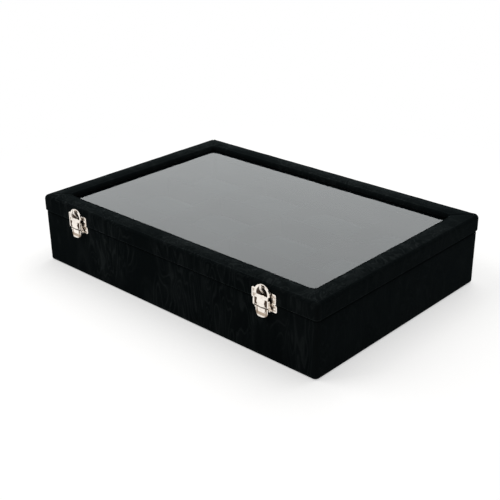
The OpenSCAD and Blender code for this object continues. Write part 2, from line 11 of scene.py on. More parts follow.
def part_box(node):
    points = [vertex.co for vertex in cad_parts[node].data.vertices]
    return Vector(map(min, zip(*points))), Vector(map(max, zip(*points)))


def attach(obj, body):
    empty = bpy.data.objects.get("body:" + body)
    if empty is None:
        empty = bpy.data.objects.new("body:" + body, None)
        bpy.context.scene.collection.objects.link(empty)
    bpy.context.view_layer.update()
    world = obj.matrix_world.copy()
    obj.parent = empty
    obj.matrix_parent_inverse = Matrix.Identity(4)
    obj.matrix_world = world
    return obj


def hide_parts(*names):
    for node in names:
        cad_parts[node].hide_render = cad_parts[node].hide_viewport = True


bl_info = {
    "name": "Velvet Display Tray",
    "version": (1, 0, 0),
    "blender": (4, 5, 0),
    "location": "3D View > Sidebar > Tray",
    "description": "Builds the velvet, glass, latches and cushions of a glass-topped display tray",
    "category": "Object",
}

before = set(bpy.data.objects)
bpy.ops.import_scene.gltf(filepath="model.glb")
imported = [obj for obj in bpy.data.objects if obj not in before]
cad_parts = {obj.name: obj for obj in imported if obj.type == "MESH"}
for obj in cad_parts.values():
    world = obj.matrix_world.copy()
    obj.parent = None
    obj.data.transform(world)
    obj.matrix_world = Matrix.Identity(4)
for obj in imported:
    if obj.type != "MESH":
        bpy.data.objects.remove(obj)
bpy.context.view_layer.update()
BASE, LID = "base", "lid"
SIDES = ("left", "right")
CUSHIONS = sorted(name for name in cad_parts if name.startswith("cushion_"))
DIVIDERS = sorted(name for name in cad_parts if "_divider_" in name)
BEADS = sorted(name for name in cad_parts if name.endswith("_glass_bead"))
BOARDS = sorted(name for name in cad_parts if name.endswith(("_board", "_rail")))
BASE_LOW, BASE_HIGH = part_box("base_velvet")
LID_LOW, LID_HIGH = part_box("lid_velvet")
GLASS_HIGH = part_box("lid_glass")[1]
LINING_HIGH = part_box("base_lining")[1]
# From the outside of the lid to its rebate, past the glass's play.
REBATE = LID_HIGH.x - GLASS_HIGH.x - 0.0005

SAME_POINT = 1e-6  # points nearer than this are one point
ON_PLANE = 1e-7  # points nearer than this lie on a cutting plane
FLAT = math.radians(0.5)  # faces that meet at less than this are one face
SHARP = math.radians(38)  # edges that turn more than this are eased
RAIL_CROWN, RAIL_SUNK = 0.0005, 0.0004  # how far the velvet domes over a rail, and lies below its height
CUSHION_EASE = (0.0012, 0.0016, 0.0016)  # how much smaller a cushion is cut, each side, than it is filled
PANEL = 0.93  # size of a cushion's section at its seams, against the middle
SQUARENESS = 2 / 3.2  # power that makes the cushion's section squarer than a circle
CLOTH_FRAMES = 20


def length(name, default, description):
    return FloatProperty(name=name, description=description, default=default, unit="LENGTH")


def angle(name, degrees, description):
    return FloatProperty(
        name=name, description=description, default=math.radians(degrees), subtype="ANGLE")


def colour(name, default, description):
    return FloatVectorProperty(
        name=name, description=description, default=default, size=3, subtype="COLOR", min=0, max=1)


class VelvetSettings(bpy.types.PropertyGroup):
    """Colour and lie of the velvet."""

    pile: colour("Pile", (0.0034, 0.0048, 0.0052), "Colour of the velvet where its pile lies flat")
    raised: colour("Raised pile", (0.0066, 0.0082, 0.0084),
                   "Colour of the velvet where a hand has brushed its pile up")
    thickness: length("Thickness", 0.001, "Thickness of the glued velvet")
    pile_height: length("Pile height", 0.0004, "How far the pile stands off the cloth of the base")
    wave: length("Wave", 0.00022, "How far the velvet stands uneven over the boards")


class CaseSettings(bpy.types.PropertyGroup):
    """Radii and widths of the case."""

    corner: length("Corner", 0.0045, "Radius of the upright corners")
    rail: length("Rail", 0.020, "Width of a lid rail")
    rail_outer: length("Rail outer edge", 0.004, "Radius of a rail's outer top edge")
    rail_inner: length("Rail inner edge", 0.003, "Radius of a rail's inner top edge")
    mitre: length("Mitre", 0.0005, "Depth of the fold where the velvet meets on a lid corner")
    opening_corner: length("Opening corner", 0.004, "Radius of the corners round the glass")
    foot: length("Foot", 0.0024, "Radius of the lower edge, where the velvet turns under")
    soft_edge: length("Soft edge", 0.0015, "Radius of the covered edges of the rims")


class CushionSettings(bpy.types.PropertyGroup):
    """Filling and seams of the cushions."""

    voxel: length("Voxel", 0.003, "Grid of the cloth before it is filled")
    pressure: FloatProperty(
        name="Pressure", description="How hard the filling presses outwards", default=4.0)
    swell: length("Swell", 0.004, "The most that the cloth may move as it fills")
    seam: length("Seam", 0.0055, "Distance of the end seams from the ends")
    groove: length("Groove", 0.0014, "How far a seam pulls the cloth in")
    groove_width: length("Groove width", 0.0013, "Width of the groove along a seam")
    pucker: length("Pucker", 0.0004, "Height of the small gathers beside a seam")


class FittingSettings(bpy.types.PropertyGroup):
    """Finish of the metal fittings."""

    nickel: colour("Nickel", (0.92, 0.86, 0.79), "Colour of the plating")
    eased: length("Eased edge", 0.00022, "Radius of the edges of the sheet metal")
    sheet: length("Sheet", 0.0008, "Thickness of the latch sheet metal")
    leaf: length("Leaf", 0.00085, "Thickness of a hinge leaf")
    nail_head: length("Nail head", 0.0013, "Radius of a domed nail's head")
    loop_edge: length("Loop edge", 0.0036, "Height of the loop's lower edge above its pin")
    loop_point: length("Loop point", 0.0009, "How far the middle of that edge points down")


class StageSettings(bpy.types.PropertyGroup):
    """Camera and light."""

    azimuth: angle("Azimuth", 43.0, "Direction of the camera round the tray")
    elevation: angle("Elevation", 24.57, "Height of the camera above the horizon")
    roll: angle("Roll", -0.64, "Turn of the camera about its own line of sight")
    distance: length("Distance", 0.8895, "Distance of the camera from what it looks at")
    target: FloatVectorProperty(
        name="Target", description="Point that the camera looks at",
        default=(0.01662, -0.02525, 0.035), size=3, subtype="TRANSLATION", unit="LENGTH")
    lens: FloatProperty(name="Lens", description="Focal length in millimetres", default=67.64)


class TraySettings(bpy.types.PropertyGroup):
    """All settings of the tray."""

    velvet: PointerProperty(type=VelvetSettings)
    case: PointerProperty(type=CaseSettings)
    cushion: PointerProperty(type=CushionSettings)
    fitting: PointerProperty(type=FittingSettings)
    stage: PointerProperty(type=StageSettings)


def settings():
    return bpy.context.scene.display_tray


class Value:
    """An output of a node, with the maths that it can take part in."""

    def __init__(self, nodes, socket):
        self.nodes = nodes
        self.socket = socket

    def other(self, name):
        """Another output of the same node."""
        return Value(self.nodes, self.socket.node.outputs[name])

    def __add__(self, other):
        return self.nodes.maths("ADD", self, other)

    __radd__ = __add__

    def __sub__(self, other):
        return self.nodes.maths("SUBTRACT", self, other)

    def __rsub__(self, other):
        return self.nodes.maths("SUBTRACT", other, self)

    def __mul__(self, other):
        return self.nodes.maths("MULTIPLY", self, other)

    __rmul__ = __mul__

    def __truediv__(self, other):
        return self.nodes.maths("DIVIDE", self, other)

    def __pow__(self, other):
        return self.nodes.maths("POWER", self, other)

    def absolute(self):
        return self.nodes.maths("ABSOLUTE", self)

    def folded(self, step):
        """Runs up and down between 0 and step as the number grows."""
        return self.nodes.maths("PINGPONG", self, step)

    def larger(self, other):
        return self.nodes.maths("MAXIMUM", self, other)

    def smooth(self, low, high):
        """0 below low and 1 above high, with a soft step between."""
        return self.nodes.add(
            "ShaderNodeMapRange", {"interpolation_type": "SMOOTHSTEP"},
            {"Value": self, "From Min": low, "From Max": high}, "Result")

    def near(self, edge, start, end):
        """0 until start before an edge, and 1 from end before it."""
        return self.smooth(edge - start, edge - end)

    def between(self, a, b, c, d):
        """Rises from a to b, and falls from c to d."""
        return self.smooth(a, b) * (1 - self.smooth(c, d))


class Nodes:
    """A node tree under construction."""

    def __init__(self, tree):
        self.tree = tree
        self.tree.nodes.clear()

    def add(self, kind, choices, inputs, output=0):
        """Adds one node: its choices are set first, then the values or links of its sockets."""
        node = self.tree.nodes.new(kind)
        for key, value in choices.items():
            setattr(node, key, value)
        for key, value in inputs.items():
            socket = node.inputs[key]
            if isinstance(value, Value):
                self.tree.links.new(value.socket, socket)
            else:
                socket.default_value = (*value, 1.0) if socket.type == "RGBA" else value
        return Value(self, node.outputs[output])

    def maths(self, operation, *values):
        return self.add("ShaderNodeMath", {"operation": operation}, dict(enumerate(values)))

    def end(self, kind, result):
        """Links the result to the tree's output node."""
        self.tree.links.new(result.socket, self.tree.nodes.new(kind).inputs[0])


class Finish(Nodes):
    """The nodes of a material, or of the room's light."""

    def __init__(self, name, world=None):
        self.owner = world or bpy.data.materials.new(name)
        self.owner.use_nodes = True
        super().__init__(self.owner.node_tree)

    def place(self, stretch=(1, 1, 1)):
        """The piece's own coordinates in metres, stretched."""
        coordinates = self.add("ShaderNodeTexCoord", {}, {}, "Object")
        return self.add("ShaderNodeMapping", {}, {"Vector": coordinates, "Scale": stretch})

    def axis(self, name):
        return self.add("ShaderNodeSeparateXYZ", {}, {"Vector": self.place()}, name)

    def noise(self, scale=1.0, detail=2.0, rough=0.5, twist=0.0, stretch=(1, 1, 1)):
        return self.add(
            "ShaderNodeTexNoise", {"noise_dimensions": "3D"},
            {"Vector": self.place(stretch), "Scale": scale, "Detail": detail, "Roughness": rough,
             "Distortion": twist})

    def blend(self, share, first, second):
        """A colour between two colours."""
        return self.add(
            "ShaderNodeMix", {"data_type": "RGBA"}, {0: share, 6: first, 7: second}, 2)

    def bump(self, height, strength, distance):
        return self.add(
            "ShaderNodeBump", {}, {"Height": height, "Strength": strength, "Distance": distance})

    def mix(self, share, first, second):
        """A shader between two shaders."""
        return self.add("ShaderNodeMixShader", {}, {0: share, 1: first, 2: second})

    def surface(self, **inputs):
        named = {key.replace("_", " "): value for key, value in inputs.items()}
        return self.add("ShaderNodeBsdfPrincipled", {}, named)

    def finished(self, shader):
        self.end("ShaderNodeOutputMaterial", shader)
        return self.owner


class Recipe(Nodes):
    """A Geometry Nodes tree, with the sizes that a user would change as its inputs."""

    def __init__(self, name, **sizes):
        super().__init__(bpy.data.node_groups.new(name, "GeometryNodeTree"))
        face = self.tree.interface
        face.new_socket("Geometry", in_out="INPUT", socket_type="NodeSocketGeometry")
        for label, value in sizes.items():
            kind = "NodeSocketVector" if isinstance(value, tuple) else "NodeSocketFloat"
            socket = face.new_socket(label.replace("_", " "), in_out="INPUT", socket_type=kind)
            socket.default_value = value
        face.new_socket("Finish", in_out="INPUT", socket_type="NodeSocketMaterial")
        face.new_socket("Geometry", in_out="OUTPUT", socket_type="NodeSocketGeometry")
        self.given = self.add("NodeGroupInput", {}, {})

    def size(self, name):
        return self.given.other(name)

    def laid(self, points, instance, turn):
        """One instance on each point."""
        return self.add("GeometryNodeInstanceOnPoints", {},
                        {"Points": points, "Instance": instance, "Rotation": turn})

    def finished(self, instances):
        """Turns the instances into mesh and gives them their finish."""
        real = self.add("GeometryNodeRealizeInstances", {}, {"Geometry": instances})
        self.end("NodeGroupOutput", self.add(
            "GeometryNodeSetMaterial", {}, {"Geometry": real, "Material": self.size("Finish")}))
        return self.tree


def dimmed(shade, share):
    return [channel * share for channel in shade]


def velvet(name, pile, raised, marks, sheen, handling=None):
    """Short black pile: patches and rippled lines where it was brushed up, over a fine nap, with the
    painted shade and painted sheen that a handling adds.
    """
    f = Finish(name)
    calm_and_shade, painted_corner_sheen = handling(f) if handling else (1, 0)
    strokes = f.noise(detail=2.5, rough=0.55, twist=1.6, stretch=(34, 34, 11))
    patches = f.noise(9.0, twist=0.6)
    combed = f.noise(detail=1.0, rough=0.35, twist=1.0, stretch=(64, 64, 13))
    broad = (strokes * 0.65 + patches * 0.35).smooth(0.46, 0.62)
    lines = (1 - combed.folded(0.045).smooth(0.0, 0.02)) * patches.smooth(0.44, 0.56)
    # Share of the lighter raised pile: brushed marks, fewer where the handling paints shade, more where it
    # paints sheen.
    brushed = (broad * 0.3 + lines * 0.65) * marks * calm_and_shade + painted_corner_sheen
    nap = f.noise(3400.0, rough=0.7)
    fibres = f.noise(rough=0.6, twist=0.8, stretch=(1500, 1500, 500))
    tips = nap.smooth(0.3, 0.75)
    normal = f.bump(nap * 0.75 + fibres * 0.25, 0.4, 0.0003)

    def lie(shade, foot, tip, **finish):
        """The pile lying one way; foot and tip are how dark or bright its ends are."""
        return f.surface(
            Base_Color=f.blend(tips, dimmed(shade, foot), dimmed(shade, tip)), Specular_IOR_Level=0.0,
            Normal=normal, **finish)
    flat = lie(pile, 0.55, 1.35, Roughness=0.95, Sheen_Weight=sheen * 0.5, Sheen_Roughness=0.32,
               Sheen_Tint=(0.76, 0.96, 1.0))
    stood = lie(raised, 0.7, 1.3, Roughness=0.9, Sheen_Weight=sheen, Sheen_Roughness=0.42,
                Sheen_Tint=(0.82, 0.97, 1.0))
    return f.finished(f.mix(brushed, flat, stood))


def case_handling(f):
    """Painted shade on the right side, which keeps fewer of the lighter brushed-up marks, and a painted
    sheen along the upright corners.
    """
    x, y = f.axis("X"), f.axis("Y").absolute()
    # Painted shade: the right side keeps only a quarter of the lighter brushed-up marks.
    calm_and_shade = 1 - x.near(BASE_HIGH.x, 0.004, 0.001) * 0.75
    # Painted sheen: lighter, sheenier pile along the upright corners.
    over_x = x.absolute().near(BASE_HIGH.x, 0.0045, 0.0012)
    over_y = y.near(BASE_HIGH.y, 0.0045, 0.0012)
    return calm_and_shade, over_x * over_y * 0.45


def case_velvet():
    v = settings().velvet
    return velvet("case_velvet", v.pile, v.raised, marks=0.8, sheen=0.19, handling=case_handling)


def tray_velvet():
    v = settings().velvet
    return velvet("tray_velvet", dimmed(v.pile, 1.2), dimmed(v.raised, 1.3), marks=0.6, sheen=0.05)


def pad_velvet():
    v = settings().velvet
    # Painted light: the cushions get a copy of the case velvet made twice as bright, so that they show in
    # the shaded tray.
    return velvet("pad_velvet", dimmed(v.pile, 2.0), dimmed(v.raised, 2.4), marks=0.8, sheen=0.14)


def black_thread():
    f = Finish("black_thread")
    twist = f.noise(stretch=(3000, 3000, 900))
    shade = f.blend(twist.smooth(0.3, 0.7), (0.010, 0.011, 0.012), (0.030, 0.032, 0.034))
    return f.finished(f.surface(Base_Color=shade, Roughness=0.5, Normal=f.bump(twist, 0.4, 0.0001)))


def pressed_felt():
    f = Finish("pressed_felt")
    clumps = f.noise(420.0, detail=3.0, rough=0.7, twist=0.8)
    hairs = f.noise(1900.0, rough=0.6)
    shade = f.blend(clumps.smooth(0.35, 0.7), (0.012, 0.012, 0.014), (0.034, 0.034, 0.038))
    return f.finished(f.surface(
        Base_Color=shade, Roughness=0.97, Specular_IOR_Level=0.1, Sheen_Weight=0.15,
        Sheen_Roughness=0.5, Normal=f.bump(clumps * 0.5 + hairs * 0.5, 0.6, 0.0003)))


def fibreboard(name="raw_fibreboard", painted=None):
    """Pressed wood fibre, bare or with its inner faces painted black."""
    f = Finish(name)
    fibres = f.noise(detail=4.0, rough=0.65, stretch=(900, 900, 2400))
    blotches = f.noise(60.0)
    grain = (fibres * 0.7 + blotches * 0.3).smooth(0.3, 0.7)
    shade = f.blend(grain, (0.23, 0.145, 0.078), (0.42, 0.29, 0.17))
    if painted:
        shade = f.blend(painted(f), shade, (0.006, 0.0065, 0.007))
    return f.finished(f.surface(Base_Color=shade, Roughness=0.82, Normal=f.bump(fibres, 0.3, 0.0002)))


def rail_board():
    """A lid rail, painted black where the glass and its beads lie."""
    def painted(f):
        inset = (f.axis("X").absolute() - LID_HIGH.x).larger(f.axis("Y").absolute() - LID_HIGH.y)
        return 1 - inset.smooth(0.00005 - REBATE, 0.0001 - REBATE)
    return fibreboard("rail_board", painted)


def lid_glazing():
    """Clear glass: it shows what lies under it from above, and the pale room as a haze at low angles."""
    f = Finish("lid_glazing")
    smears = f.noise(detail=3.0, twist=1.2, stretch=(7, 16, 7))
    clear = f.add("ShaderNodeBsdfTransparent", {}, {"Color": (0.95, 0.975, 0.97)})
    gloss = f.add("ShaderNodeBsdfGlossy", {"distribution": "GGX"},
                  {"Color": (0.955, 0.99, 1.0), "Roughness": 0.03})
    one_face = f.add("ShaderNodeFresnel", {}, {"IOR": 1.6})
    both_faces = 2 * one_face / (1 + one_face)
    inner = f.add("ShaderNodeNewGeometry", {}, {}, "Backfacing")
    square_on = 0.6 + both_faces.smooth(0.1, 0.19) * 0.4
    share = (both_faces * (0.97 + smears * 0.1) + 0.01) * square_on * (1 - inner)
    return f.finished(f.mix(share, clear, gloss))


def plated(name, plating, rough, bloom_and_shade_strength, painted_shade):
    """Nickel plate over stamped sheet: bright, with rub marks and a brown bloom, and painted shade that
    darkens its corners and crevices.
    """
    f = Finish(name)
    rubs = f.noise(detail=3.0, rough=0.6, twist=0.4, stretch=(700, 700, 160))
    bloom = f.noise(330.0, detail=3.0, rough=0.6, twist=0.5)
    pits = f.noise(1500.0)
    blotches = bloom * 0.7 + pits * 0.3
    # Painted shade: ambient occlusion that darkens corners and crevices.
    corners = 1 - f.add(
        "ShaderNodeAmbientOcclusion", {"samples": 8, "only_local": True}, {"Distance": 0.0012}, "AO")
    # Greyer where the bloom lies, with some of the painted shade from the corners.
    bloom_and_shade = (blotches + corners * 0.35).smooth(0.52, 0.7) * bloom_and_shade_strength
    # Painted shade, dark brown in corners and crevices, a little broken up by the bloom.
    crevice_shade = (corners + blotches * 0.4).smooth(0.35, 0.75)
    if painted_shade:
        # Each part's own painted shade: a greyer share and a dark brown share.
        greyed_shade, darkened_shade = painted_shade(f, blotches)
        bloom_and_shade = bloom_and_shade.larger(greyed_shade)
        crevice_shade = crevice_shade.larger(darkened_shade)
    # Colour of the bloom and of the lighter painted shade; the darker brown is for the deepest painted
    # shade.
    bloom_and_shade_colour = [channel * share for channel, share in zip(plating, (0.40, 0.32, 0.25))]
    brown = [channel * share for channel, share in zip(plating, (0.050, 0.029, 0.018))]
    gloss = rough + rubs.smooth(0.35, 0.75) * 0.12 + bloom_and_shade * 0.15 + crevice_shade * 0.2
    return f.finished(f.surface(
        Base_Color=f.blend(crevice_shade, f.blend(bloom_and_shade, plating, bloom_and_shade_colour), brown), Metallic=1.0,
        Roughness=gloss, Normal=f.bump(rubs * 0.5 + pits * 0.5, 0.12, 0.00006)))


def beside_latch(f):
    """Distance across from the middle of the nearer latch, and half the width of its loop."""
    low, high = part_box("right_latch_loop")
    return (f.axis("X").absolute() - (low.x + high.x) / 2).absolute(), (high.x - low.x) / 2


def loop_foot():
    """Height of the loop's lower edge."""
    low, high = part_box("right_latch_loop_pin")
    return (low.z + high.z) / 2 + settings().fitting.loop_edge


def plate_painted_shade(wall, hook=0):
    """Painted shade on a plate: greyer in its pressed field, dark where the loop covers it, and dark on
    each side of the hook's rub.
    """
    def painted_shade(f, blotches):
        across, half = beside_latch(f)
        face = wall - settings().fitting.sheet
        # Painted shade in the recessed field.
        deep = f.axis("Y").smooth(face + 0.00008, face + 0.0002)
        # Painted shadow under the loop.
        covered = 1 - across.smooth(half - 0.0008, half + 0.0004)
        # Painted shade on each side of the hook, on the catch plate only.
        beside_hook_shade = across.between(0.0007, 0.0013, half - 0.0014, half - 0.0008) * hook
        return deep * (blotches * 0.5 + 0.35), (deep * covered).larger(beside_hook_shade) * (blotches * 0.5 + 0.75)
    return painted_shade


def lever_painted_shade(f, blotches):
    """Painted shadow along the lower edge of the loop, and painted shade on the flare of the lip and in
    the grooves beside its raised panel.
    """
    point = settings().fitting.loop_point
    across, half = beside_latch(f)
    height = f.axis("Z")
    below = across * (point / half) + (loop_foot() - point) - height
    # Painted shadow under the loop's lower edge.
    line = 1 - below.smooth(0.0012, 0.0022)
    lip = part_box("right_latch_lever")[0].z
    # Painted shade on the flare of the lip.
    flare = height.between(lip + 0.0006, lip + 0.0013, lip + 0.0028, lip + 0.0042)
    # Painted shade in the grooves beside the raised panel.
    beside = across.between(half - 0.0042, half - 0.0038, half - 0.0026, half - 0.0020)
    greyed_shade = flare.larger(beside * height.smooth(lip + 0.0015, lip + 0.0030))
    return greyed_shade * (blotches * 0.8 + 0.45), line.larger(beside * 0.45) * (blotches * 0.6 + 0.6)


def loop_painted_shade(f, blotches):
    """Painted shade at the foot of the raised panel; the rim outside it is left bright."""
    across, half = beside_latch(f)
    # Painted shade in a band round the foot of the raised panel.
    body = (f.axis("Z") - loop_foot()).between(-0.0002, 0.0004, 0.0058, 0.0066)
    foot = across.between(half - 0.0041, half - 0.0036, half - 0.0014, half - 0.0009)
    return body * foot * (blotches * 0.5 + 0.6), body * foot * (blotches + 0.5)


def nickel(name, rough, bloom_and_shade_strength, painted_shade=None, share=1.0):
    """The maker of one nickel finish."""
    return lambda: plated(name, dimmed(settings().fitting.nickel, share), rough, bloom_and_shade_strength, painted_shade)


pin_nickel = nickel("latch_nickel", 0.14, 0.6)
hinge_nickel = nickel("hinge_plating", 0.26, 0.8, share=0.85)
# Each part of a latch or hinge: the body that it rides on, and its finish.
LATCH_PARTS = {
    "latch_base_plate": (BASE, nickel("base_plate_nickel", 0.16, 0.75, plate_painted_shade(BASE_LOW.y))),
    "latch_catch_plate": (LID, nickel("catch_plate_nickel", 0.16, 0.75, plate_painted_shade(LID_LOW.y, 0.8))),
    "latch_lever": ("{}_lever", nickel("lever_nickel", 0.14, 0.6, lever_painted_shade)),
    "latch_lever_pin": (BASE, pin_nickel),
    "latch_loop": ("{}_loop", nickel("loop_nickel", 0.14, 0.6, loop_painted_shade)),
    "latch_loop_pin": ("{}_lever", pin_nickel),
}
HINGE_PARTS = {
    "hinge_base_leaf": (BASE, hinge_nickel),
    "hinge_lid_leaf": (LID, hinge_nickel),
    "hinge_pin": (BASE, hinge_nickel),
}
FINISHES = {}


def finish_for(maker):
    """The material that one maker gives, made once."""
    if maker not in FINISHES:
        FINISHES[maker] = maker()
    return FINISHES[maker]


def assign(piece, maker):
    piece.data.materials.clear()
    piece.data.materials.append(finish_for(maker))


def settle(piece, body, slot, maker, *nodes):
    """Gives a finished piece its finish and its body, and hides the nodes that it stands for; the slot is
    not used.
    """
    assign(piece, maker)
    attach(piece, body)
    if nodes:
        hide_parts(*nodes)


def shade_smooth(mesh):
    mesh.polygons.foreach_set("use_smooth", [True] * len(mesh.polygons))
    mesh.update()


def stand(name, data):
    """A new object in the scene."""
    item = bpy.data.objects.new(name, data)
    bpy.context.scene.collection.objects.link(item)
    return item


def mesh_from(bm, name):
    mesh = bpy.data.meshes.new(name)
    bm.to_mesh(mesh)
    bm.free()
    return mesh


def new_piece(name, bm):
    bmesh.ops.recalc_face_normals(bm, faces=bm.faces)
    mesh = mesh_from(bm, name)
    shade_smooth(mesh)
    return stand(name, mesh)


def apply_modifiers(piece):
    """Turns the modified shape into the piece's own mesh."""
    graph = bpy.context.evaluated_depsgraph_get()
    mesh = bpy.data.meshes.new_from_object(piece.evaluated_get(graph))
    piece.modifiers.clear()
    old = piece.data
    piece.data = mesh
    bpy.data.meshes.remove(old)


def merged(node):
    """A construction node's mesh with its loose triangles joined."""
    bm = bmesh.new()
    bm.from_mesh(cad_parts[node].data)
    bmesh.ops.remove_doubles(bm, verts=bm.verts, dist=SAME_POINT)
    return bm


def crisp_normals(mesh, near=0.3):
    """Lets the largest faces round a point set its normal, so that only the eased edges look round."""
    largest = [0.0] * len(mesh.vertices)
    for face in mesh.polygons:
        for index in face.vertices:
            largest[index] = max(largest[index], face.area)
    normals = [Vector() for _ in mesh.vertices]
    for face in mesh.polygons:
        for index in face.vertices:
            if face.area > near * largest[index]:
                normals[index] += face.normal * face.area
    mesh.normals_split_custom_set_from_vertices([n.normalized() for n in normals])


def eased(node, name, radius, steps=2):
    """A copy of a construction node with its sharp edges rounded."""
    bm = merged(node)
    bmesh.ops.dissolve_limit(bm, angle_limit=FLAT, verts=bm.verts, edges=bm.edges, delimit={"NORMAL"})
    piece = stand(name, mesh_from(bm, name))
    bevel = piece.modifiers.new("edges", "BEVEL")
    bevel.width = radius
    bevel.segments = steps
    bevel.limit_method = "ANGLE"
    bevel.angle_limit = SHARP
    bevel.use_clamp_overlap = True
    shade_smooth(piece.data)
    apply_modifiers(piece)
    crisp_normals(piece.data)
    return piece


def arc(centre, radius, start, end, steps):
    """Points of an arc, from start to end in degrees."""
    points = []
    for i in range(steps + 1):
        a = math.radians(start + (end - start) * i / steps)
        points.append((centre[0] + radius * math.cos(a), centre[1] + radius * math.sin(a)))
    return points


def run(start, end, steps):
    """Points along a straight line, without its two ends."""
    return [tuple(a + (b - a) * i / steps for a, b in zip(start, end)) for i in range(1, steps)]


def ring(half_x, half_y, radius, corner_steps):
    """Points round a rounded rectangle from its right front corner, anticlockwise, closer near corners."""
    corners = []
    for x, y, start in ((1, -1, 270), (1, 1, 0), (-1, 1, 90), (-1, -1, 180)):
        centre = (x * (half_x - radius), y * (half_y - radius))
        corners.append(arc(centre, radius, start, start + 90, corner_steps))
    points = []
    for corner, after, steps in zip(corners, corners[1:] + corners[:1], (60, 90, 60, 90)):
        points += corner
        (x, y), (end_x, end_y) = corner[-1], after[0]
        for i in range(1, steps):
            t = i / steps
            t -= 0.82 * math.sin(2 * math.pi * t) / (2 * math.pi)
            points.append((x + (end_x - x) * t, y + (end_y - y) * t))
    return points


def bridge(bm, first, second):
    """Joins two rings of points by quads."""
    for k in range(len(first)):
        n = (k + 1) % len(first)
        bm.faces.new((first[k], first[n], second[n], second[k]))


def swept_case(section, half_x, half_y, radius_at, corner_steps=10):
    """Sweeps a closed section of (inset, height) points round the case."""
    bm = bmesh.new()
    rows = []
    for inset, z in section:
        outline = ring(half_x - inset, half_y - inset, radius_at(inset), corner_steps)
        rows.append([bm.verts.new((x, y, z)) for x, y in outline])
    for first, second in zip(rows, rows[1:] + rows[:1]):
        bridge(bm, first, second)
    return bm


def unevenness(point, scale, amount, seed):
    """A soft offset that differs from place to place."""
    return amount * noise.noise(Vector(point) * scale + Vector((seed, 2 * seed, 3 * seed)))


def wave_surface(bm, scale, amount, seed, keep_low):
    """Lets glued velvet stand a little uneven above a height: a slow wave, and a finer one on it."""
    bm.normal_update()
    moves = []
    for v in bm.verts:
        slow = unevenness(v.co, scale, amount, seed)
        moves.append(v.normal * (slow + unevenness(v.co, scale * 3.1, amount * 0.4, seed + 7)))
    for v, move in zip(bm.verts, moves):
        if v.co.z > keep_low:
            v.co += move


def crease_mitres(bm, corner, above, depth):
    """Presses a fold into the top of the lid along each mitre, with a low lip on one side of it."""
    fold_width, lip_place, lip_width, lip_height = 0.0007, 0.0018, 0.0012, 0.45
    for v in bm.verts:
        if v.co.z > above:
            off = ((corner.x - abs(v.co.x)) - (corner.y - abs(v.co.y))) / math.sqrt(2)
            fold = math.exp(-(off / fold_width) ** 2)
            lip = math.exp(-((off - lip_place) / lip_width) ** 2)
            v.co.z += depth * (lip_height * lip - fold)


def let_in_leaves(bm, node, facing, thickness, cloth):
    """Presses a pocket into the velvet for each hinge leaf; facing is 1 where the leaf lies on top."""
    reach, outer, edge, inner = 0.012, 0.0006, 0.0003, 0.0002
    shallow, deeper = 0.0001, 0.0005
    for side in SIDES:
        low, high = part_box(f"{side}_{node}")
        near = [face for face in bm.faces if face.calc_center_median().y > low.y - reach]
        geometry = near + list(dict.fromkeys(e for face in near for e in face.edges))
        geometry += list(dict.fromkeys(v for face in near for v in face.verts))
        across = (low.x - outer, low.x - inner, high.x + inner, high.x + outer)
        cuts = [((x, 0, 0), (1, 0, 0)) for x in across]
        cuts += [((0, y, 0), (0, 1, 0)) for y in (low.y - outer, low.y - inner)]
        for place, way in cuts:
            cut = bmesh.ops.bisect_plane(bm, geom=geometry, dist=ON_PLANE, plane_co=place, plane_no=way)
            geometry = cut["geom"]
    surface = max(v.co.z * facing for v in bm.verts if v.co.y > 0.1)
    for side in SIDES:
        low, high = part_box(f"{side}_{node}")
        for v in bm.verts:
            inside = low.x - edge < v.co.x < high.x + edge and v.co.y > low.y - edge
            deep = surface - v.co.z * facing
            if inside and deep < 2 * cloth:
                v.co.z = facing * (surface - thickness - (shallow if deep < 0.6 * cloth else deeper))


class TRAY_OT_boards(bpy.types.Operator):
    """Give the boards and rails inside the covering their raw fibreboard"""

    bl_idname = "tray.boards"
    bl_label = "Boards and rails"

    def execute(self, context):
        for name in BOARDS:
            assign(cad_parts[name], rail_board if name.endswith("_rail") else fibreboard)
        assign(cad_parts["bottom_felt"], pressed_felt)
        return {"FINISHED"}


class TRAY_OT_base_wrap(bpy.types.Operator):
    """Wrap the outside and the rim of the base in velvet"""

    bl_idname = "tray.base_wrap"
    bl_label = "Base velvet"

    def execute(self, context):
        case, cloth = settings().case, settings().velvet
        t, r, foot, pile = cloth.thickness, case.soft_edge, case.foot, cloth.pile_height
        low, high = BASE_LOW.z - 0.75 * t, BASE_HIGH.z
        rim = (BASE_HIGH.x - LINING_HIGH.x) + t + pile
        section = [(3 * t, BASE_LOW.z), (3 * t, low)]
        section += arc((foot, low + foot), foot, 270, 180, 6)
        section += run((0, low + foot), (0, high - r), 16)
        section += arc((r, high - r), r, 180, 90, 6)
        section += run((r, high), (rim - r, high), 3)
        section += arc((rim - t, high - t), t, 90, 0, 3)
        section += [(t, high - t), (t, BASE_LOW.z)]
        bm = swept_case(
            section, BASE_HIGH.x + pile, BASE_HIGH.y + pile,
            lambda inset: max(case.corner - inset, 0.0008))
        wave_surface(bm, 38, cloth.wave, 11, keep_low=low + foot)
        let_in_leaves(bm, "hinge_base_leaf", 1, settings().fitting.leaf, t)
        settle(new_piece("base_wrap", bm), BASE, "black_velvet", case_velvet, "base_velvet")
        return {"FINISHED"}


